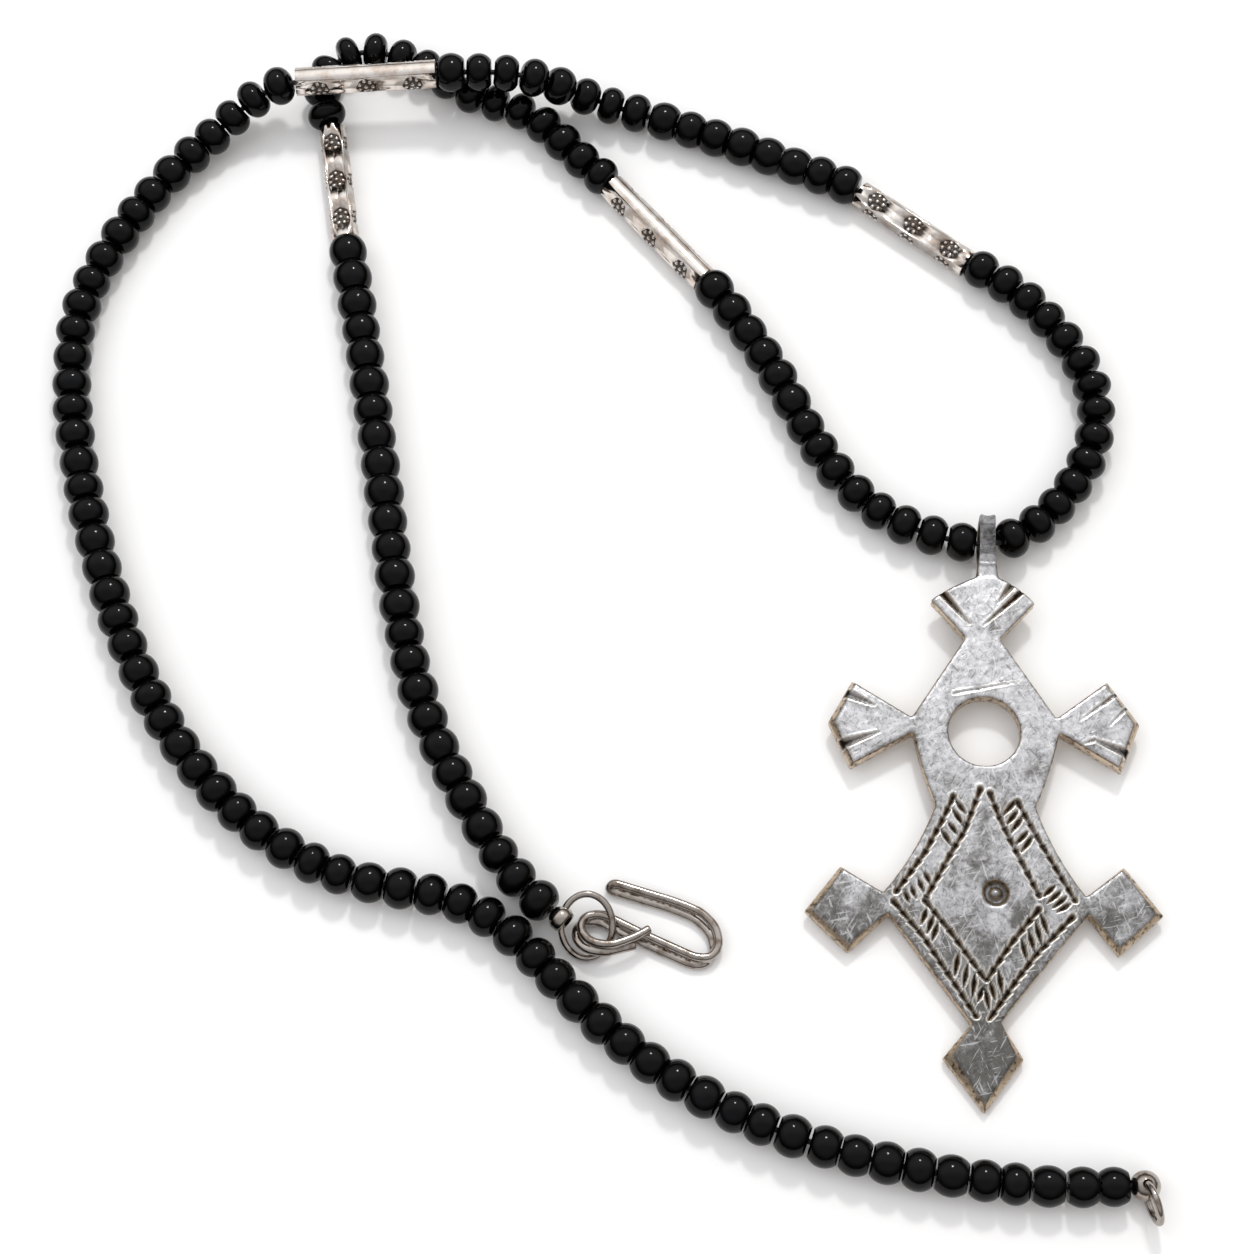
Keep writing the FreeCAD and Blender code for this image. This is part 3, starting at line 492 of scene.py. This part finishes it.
def rub_smooth(skin, times):
    for rub in range(times):
        bmesh.ops.smooth_vert(
            skin, verts=skin.verts, factor=0.5, use_axis_x=True, use_axis_y=True, use_axis_z=True
        )


cross = merged_copy("cross_pendant")
bmesh.ops.transform(cross, matrix=CROSS_PLACE.inverted(), verts=cross.verts)
cross = even_skin(cross, SKIN_STEP)
rub_smooth(cross, SKIN_RUBS)
print("cross skin has", len(cross.verts), "points")

# %% [markdown]
# ### The chisel work
# Two double borders run round the lower diamond. Each was punched stroke by stroke, so a
# border is a chain of short wedges, wide at one end and thin at the other. Between them lie
# groups of slanted hatches, and the lobes carry a few wide gouges that open at the rim.
# The tables hold positions across and along the plate, in millimetres from its lower tip.

# %% Tables of strokes
PUNCHED_BORDERS = [
    [(-0.9, 45.9), (-3.1, 39.7), (-5.2, 35.9), (-8.3, 29.9)],
    [(0.5, 45.3), (1.9, 41.6), (3.8, 37.7), (7.4, 30.7)],
    [(-8.5, 29.3), (-5.1, 25.2), (-1.9, 20.9), (0.0, 18.3)],
    [(7.3, 28.7), (4.0, 24.4), (2.5, 22.2), (0.2, 18.5)],
    [(-4.7, 44.6), (-6.0, 41.6), (-8.6, 36.3), (-12.6, 30.4)],
    [(4.4, 44.2), (6.9, 39.6), (8.6, 36.7), (12.4, 30.2)],
    [(-12.9, 29.0), (-8.6, 24.0), (-4.5, 17.9), (-1.3, 13.2)],
    [(12.0, 27.8), (6.8, 22.1), (4.3, 18.6), (0.5, 12.9)],
]
HATCHES = [
    (-4.4, 44.2, -2.7, 41.9),
    (-4.9, 43.0, -3.0, 40.1),
    (-5.4, 40.9, -3.9, 38.9),
    (-6.4, 39.8, -4.8, 37.3),
    (4.3, 44.7, 2.1, 42.0),
    (4.4, 43.0, 2.7, 40.7),
    (5.2, 42.3, 3.2, 39.4),
    (5.9, 40.1, 3.9, 37.8),
    (6.6, 39.5, 4.7, 36.7),
    (-8.7, 33.5, -7.7, 31.6),
    (-9.6, 32.6, -8.6, 30.3),
    (-10.6, 31.5, -9.7, 29.4),
    (-11.4, 30.6, -10.7, 28.8),
    (9.6, 32.3, 7.8, 30.5),
    (10.5, 31.6, 8.4, 29.6),
    (11.3, 30.8, 9.1, 28.9),
    (11.8, 29.8, 9.7, 28.4),
    (-8.2, 28.3, -9.1, 25.7),
    (-7.3, 27.3, -8.3, 24.4),
    (-6.7, 26.2, -7.6, 23.4),
    (-3.8, 22.1, -4.4, 18.4),
    (-2.5, 20.6, -3.2, 16.9),
    (-1.5, 19.3, -1.9, 15.6),
    (-0.3, 17.5, -1.2, 15.1),
    (-0.1, 17.3, 0.5, 13.9),
    (0.6, 18.2, 1.3, 15.4),
    (1.7, 20.0, 2.3, 16.2),
    (4.9, 24.5, 5.7, 21.2),
    (5.9, 25.7, 6.8, 22.4),
    (6.8, 27.1, 7.8, 23.4),
    (7.5, 28.3, 8.8, 24.8),
]
# From across, along to across, along, then width at the start and depth
GOUGES = [
    (-6.7, 75.6, -2.4, 70.5, 1.3, 0.6),
    (3.6, 77.2, 1.5, 74.1, 1.3, 0.5),
    (5.0, 76.1, -0.8, 70.3, 0.9, 0.6),
    (-20.6, 59.7, -15.9, 57.6, 1.7, 0.45),
    (-21.2, 51.5, -15.2, 53.8, 1.7, 0.5),
    (19.0, 61.4, 13.2, 56.6, 0.6, 0.4),
    (20.1, 59.2, 17.4, 56.0, 0.5, 0.35),
    (21.2, 51.6, 15.0, 54.0, 1.7, 0.5),
    (15.3, 53.9, 13.2, 53.0, 0.5, 0.3),
    (-4.7, 60.0, 4.9, 62.2, 0.45, 0.2),
]
PUNCH_PERIOD = 1.75

# %% [markdown]
# Each stroke is a V-shaped groove. For every point of the skin, the distance to the
# stroke's line and the place along it give the depth there. The deepest stroke wins, as it
# does under a real chisel.

# %% Cutting the strokes
def nearest_on(points, start, end):
    """Distance of each point from a line, and how far along the line that is, 0 to 1."""
    run = end - start
    along = np.clip(((points - start) @ run) / (run @ run), -0.2, 1.2)
    inside = np.clip(along, 0.0, 1.0)
    return np.linalg.norm(points - (start + inside[:, None] * run), axis=1), inside


def wedge(share, widest):
    """Half width of a pointed stroke along its length: thin at both ends."""
    rising = np.clip(share / widest, 0, 1)
    falling = np.clip((1 - share) / (1 - widest), 0, 1)
    return np.minimum(rising, falling) ** 0.6


def cut(depths, burrs, away, half_width, depth):
    open_width = np.maximum(half_width, 1e-4)
    groove = depth * np.clip(1 - away / open_width, 0, 1) * np.clip(half_width / 0.15, 0, 1)
    np.maximum(depths, groove, out=depths)
    rim = np.exp(-(((away - open_width - 0.06) / 0.12) ** 2)) * np.clip(half_width / 0.2, 0, 1)
    np.maximum(burrs, rim, out=burrs)


def chisel_work(points):
    depths = np.zeros(len(points))
    burrs = np.zeros(len(points))
    for border in PUNCHED_BORDERS:
        travelled = 0.0
        for first, last in zip(border, border[1:]):
            start, end = np.array(first), np.array(last)
            length = np.linalg.norm(end - start)
            away, share = nearest_on(points, start, end)
            phase = ((travelled + share * length) / PUNCH_PERIOD) % 1.0
            cut(depths, burrs, away, 0.26 + 0.3 * (1 - phase), 0.4 + 0.2 * (1 - phase))
            travelled += length
    for x0, y0, x1, y1 in HATCHES:
        away, share = nearest_on(points, np.array((x0, y0)), np.array((x1, y1)))
        cut(depths, burrs, away, 0.46 * wedge(share, 0.4), 0.55)
    for x0, y0, x1, y1, width, depth in GOUGES:
        away, share = nearest_on(points, np.array((x0, y0)), np.array((x1, y1)))
        cut(depths, burrs, away, width / 2 * (1 - share) ** 0.7 + 0.05, depth * (1 - 0.5 * share))
    return depths, burrs


skin = np.array([vert.co for vert in cross.verts])
depths, burrs = chisel_work(skin[:, :2])
on_top = np.clip((skin[:, 2] - 1.1) / 0.5, 0, 1)
burrs = burrs * (depths < 0.05) * on_top
floor_height = PLATE_TOP - depths
lowered = np.minimum(skin[:, 2], floor_height) * on_top + skin[:, 2] * (1 - on_top)
skin[:, 2] = lowered + 0.07 * burrs
for vert, place in zip(cross.verts, skin):
    vert.co = place
depth_now = np.clip((PLATE_TOP - 0.12 - skin[:, 2]) / 0.3, 0, 1) * (depths > 0.08) * on_top
print("cut", int((depths > 0.1).sum()), "points")

# %% [markdown]
# ### Oxide, and painted highlights on the burrs
# Black oxide stays where a cloth can't reach: in the strokes, round the raised dot and in
# the groove of the bail. The burrs beside the strokes are painted near white: partly rubbed
# silver, partly a painted highlight along the edges of the strokes. Both are stored on the
# skin as attributes that the silver reads.

# %% Painting the skin
DOT_CENTRE = np.array((1.35, 30.9))
BAIL_CENTRE = np.array((84.1, 1.1))

from_dot = np.linalg.norm(skin[:, :2] - DOT_CENTRE, axis=1)
dot_oxide = np.clip((PLATE_TOP - 0.25 - skin[:, 2]) / 0.3, 0, 1) * (from_dot < 2.2) * 0.6
from_bail = np.linalg.norm(skin[:, 1:] - BAIL_CENTRE, axis=1)
bail_oxide = np.clip((3.95 - from_bail) / 0.2, 0, 1) * (skin[:, 1] > 78.2) * 0.6
# A band up the neck is darkened as well, at 0.4, and goes in with the oxide.
up_the_neck = np.clip((skin[:, 1] - 77.6) / 0.8, 0, 1) * np.clip((80.6 - skin[:, 1]) / 0.8, 0, 1)
oxide = np.maximum(np.maximum(depth_now, dot_oxide), np.maximum(bail_oxide, 0.4 * up_the_neck))
# Painted highlight on the burrs, partly rubbed silver.
rubbed_and_painted_highlight = burrs * 0.8

for name, values in (("oxide", oxide), ("rubbed_and_painted_highlight", rubbed_and_painted_highlight)):
    layer = cross.verts.layers.float.new(name)
    for vert, value in zip(cross.verts, values):
        vert[layer] = float(value)
bmesh.ops.transform(cross, matrix=CROSS_PLACE, verts=cross.verts)
finish_piece(cross, "silver_cross", silver_of_the_cross, "cast_silver", "cross_pendant")


# %% [markdown]
# ## The stamped tubes
# The tubes are sheet silver rolled round a rod, with flowers stamped in lengthwise rows.
# The solid already has the stamps, so its copy only needs the small unevenness of hand
# rolling, and oxide painted wherever the surface lies below the outer skin.

# %% Tubes
TUBE_RADIUS = 2.15
STAMP_EDGE = 0.07
STAMP_FADE = 0.13
STAMP_OXIDE = 0.85
ROLLING_WAVE = 0.025


def tube_axis(points):
    """The middle line of a tube: its mean point and its longest direction."""
    middle = (points.min(axis=0) + points.max(axis=0)) / 2
    spread = np.linalg.svd(points - points.mean(axis=0), full_matrices=False)[2]
    return middle, spread[0]


for number in range(1, 5):
    node_name = "tube_bead_%d" % number
    tube = merged_copy(node_name)
    points = np.array([vert.co for vert in tube.verts])
    middle, axis = tube_axis(points)
    offset = points - middle
    along = offset @ axis
    outward = offset - along[:, None] * axis
    reach = np.linalg.norm(outward, axis=1)
    sunk = np.clip((TUBE_RADIUS - STAMP_EDGE - reach) / STAMP_FADE, 0, 1)
    layer = tube.verts.layers.float.new("oxide")
    wave = ROLLING_WAVE * np.sin(along * 0.45 + number)
    points = points + outward / reach[:, None] * wave[:, None]
    for vert, place, value in zip(tube.verts, points, sunk):
        vert.co = place
        vert[layer] = STAMP_OXIDE * float(value)
    name = "stamped_tube_%d" % number
    finish_piece(tube, name, silver_of_the_tubes, "stamped_silver", node_name, sharp=40)


# %% [markdown]
# ## Hook, rings, cup and ball
# These are plain turned and bent wire parts. An even skin, rubbed smooth, has no facets left,
# so that the polished metal mirrors in long clean streaks. Rubbing thins a wire a little,
# and each point is then moved back out by as much.

# %% Fittings
WIRE_STEP = 0.1
WIRE_RUBS = 26
WORN_AWAY = 0.045

for node_name in ("hook", "jump_ring", "end_ring"):
    fitting = even_skin(merged_copy(node_name), WIRE_STEP)
    rub_smooth(fitting, WIRE_RUBS)
    fitting.normal_update()
    for vert in fitting.verts:
        vert.co += vert.normal * WORN_AWAY
    finish_piece(fitting, node_name + "_polished", wire_metal, "clasp_metal", node_name)

for node_name in ("end_cap", "end_ball"):
    fitting = merged_copy(node_name)
    finish_piece(fitting, node_name + "_polished", wire_metal, "clasp_metal", node_name, sharp=40)


# %% [markdown]
# ## Table and light
# The table is matt and nearly white. A small softbox behind the necklace gives each bead
# its bright spot. Two broad weak ones fill the shadows, and nothing shiny mirrors them. The
# room is white overhead and behind, and warm grey towards the viewer and the floor, so that
# round wires get a bright streak and brown edges.

# %% Table
def pale_table():
    material, tree, shader, where = new_material("matt_table")
    soft = noise_at(tree, where, 60.0, 2.0)
    colour = mix_colour(tree, soft, linear("#F7F6F5"), linear("#FBFBFA"))
    tree.links.new(colour, shader.inputs["Base Color"])
    shader.inputs["Roughness"].default_value = 0.9
    shader.inputs["Specular IOR Level"].default_value = 0.1
    return material


table_shape = bmesh.new()
bmesh.ops.create_grid(table_shape, x_segments=1, y_segments=1, size=3.0)
table_mesh = bpy.data.meshes.new("table")
table_shape.to_mesh(table_mesh)
table_shape.free()
table_mesh.materials.append(pale_table())
table = bpy.data.objects.new("table", table_mesh)
table.location = (0, 0, -0.0001)
bpy.context.scene.collection.objects.link(table)


# %% Lights
def softbox(name, place, size, power, colour="#FFFFFF"):
    """A square lamp that looks at the middle of the necklace."""
    lamp = bpy.data.lights.new(name, "AREA")
    lamp.shape = "SQUARE"
    lamp.size = size
    lamp.energy = power
    lamp.color = linear(colour)[:3]
    holder = bpy.data.objects.new(name, lamp)
    holder.location = place
    holder.rotation_euler = Vector(place).to_track_quat("Z", "Y").to_euler()
    bpy.context.scene.collection.objects.link(holder)
    return holder


softbox("key_softbox", (0.08, 0.53, 0.72), 0.11, 2.4, "#FFFFFF")
left_fill = softbox("left_fill", (-0.9, -0.1, 0.9), 1.3, 4.0, "#F4F7FF")
front_fill = softbox("front_fill", (0.3, -1.0, 0.7), 1.2, 3.0, "#FFF8F0")
for fill in (left_fill, front_fill):
    fill.visible_glossy = False

room = bpy.data.worlds.new("grey_room")
room.use_nodes = True
sky = room.node_tree
sky_coords = add_node(sky, "ShaderNodeTexCoord")
sky_way = add_node(sky, "ShaderNodeSeparateXYZ", None, {"Vector": sky_coords.outputs["Generated"]})
towards_back = remap(sky, sky_way.outputs["Y"], -0.35, 0.45)
sky_height = remap(sky, sky_way.outputs["Z"], 0.1, 0.75)
sky_base = mix_colour(sky, sky_height, linear("#4A423B"), linear("#C4C4C6"))
sky_colour = mix_colour(sky, maths(sky, "MULTIPLY", towards_back, sky_height), sky_base, linear("#FFFFFF"))
sky.links.new(sky_colour, sky.nodes["Background"].inputs["Color"])
sky.nodes["Background"].inputs["Strength"].default_value = 1.15
bpy.context.scene.world = room
bpy.context.scene.view_settings.view_transform = "Standard"
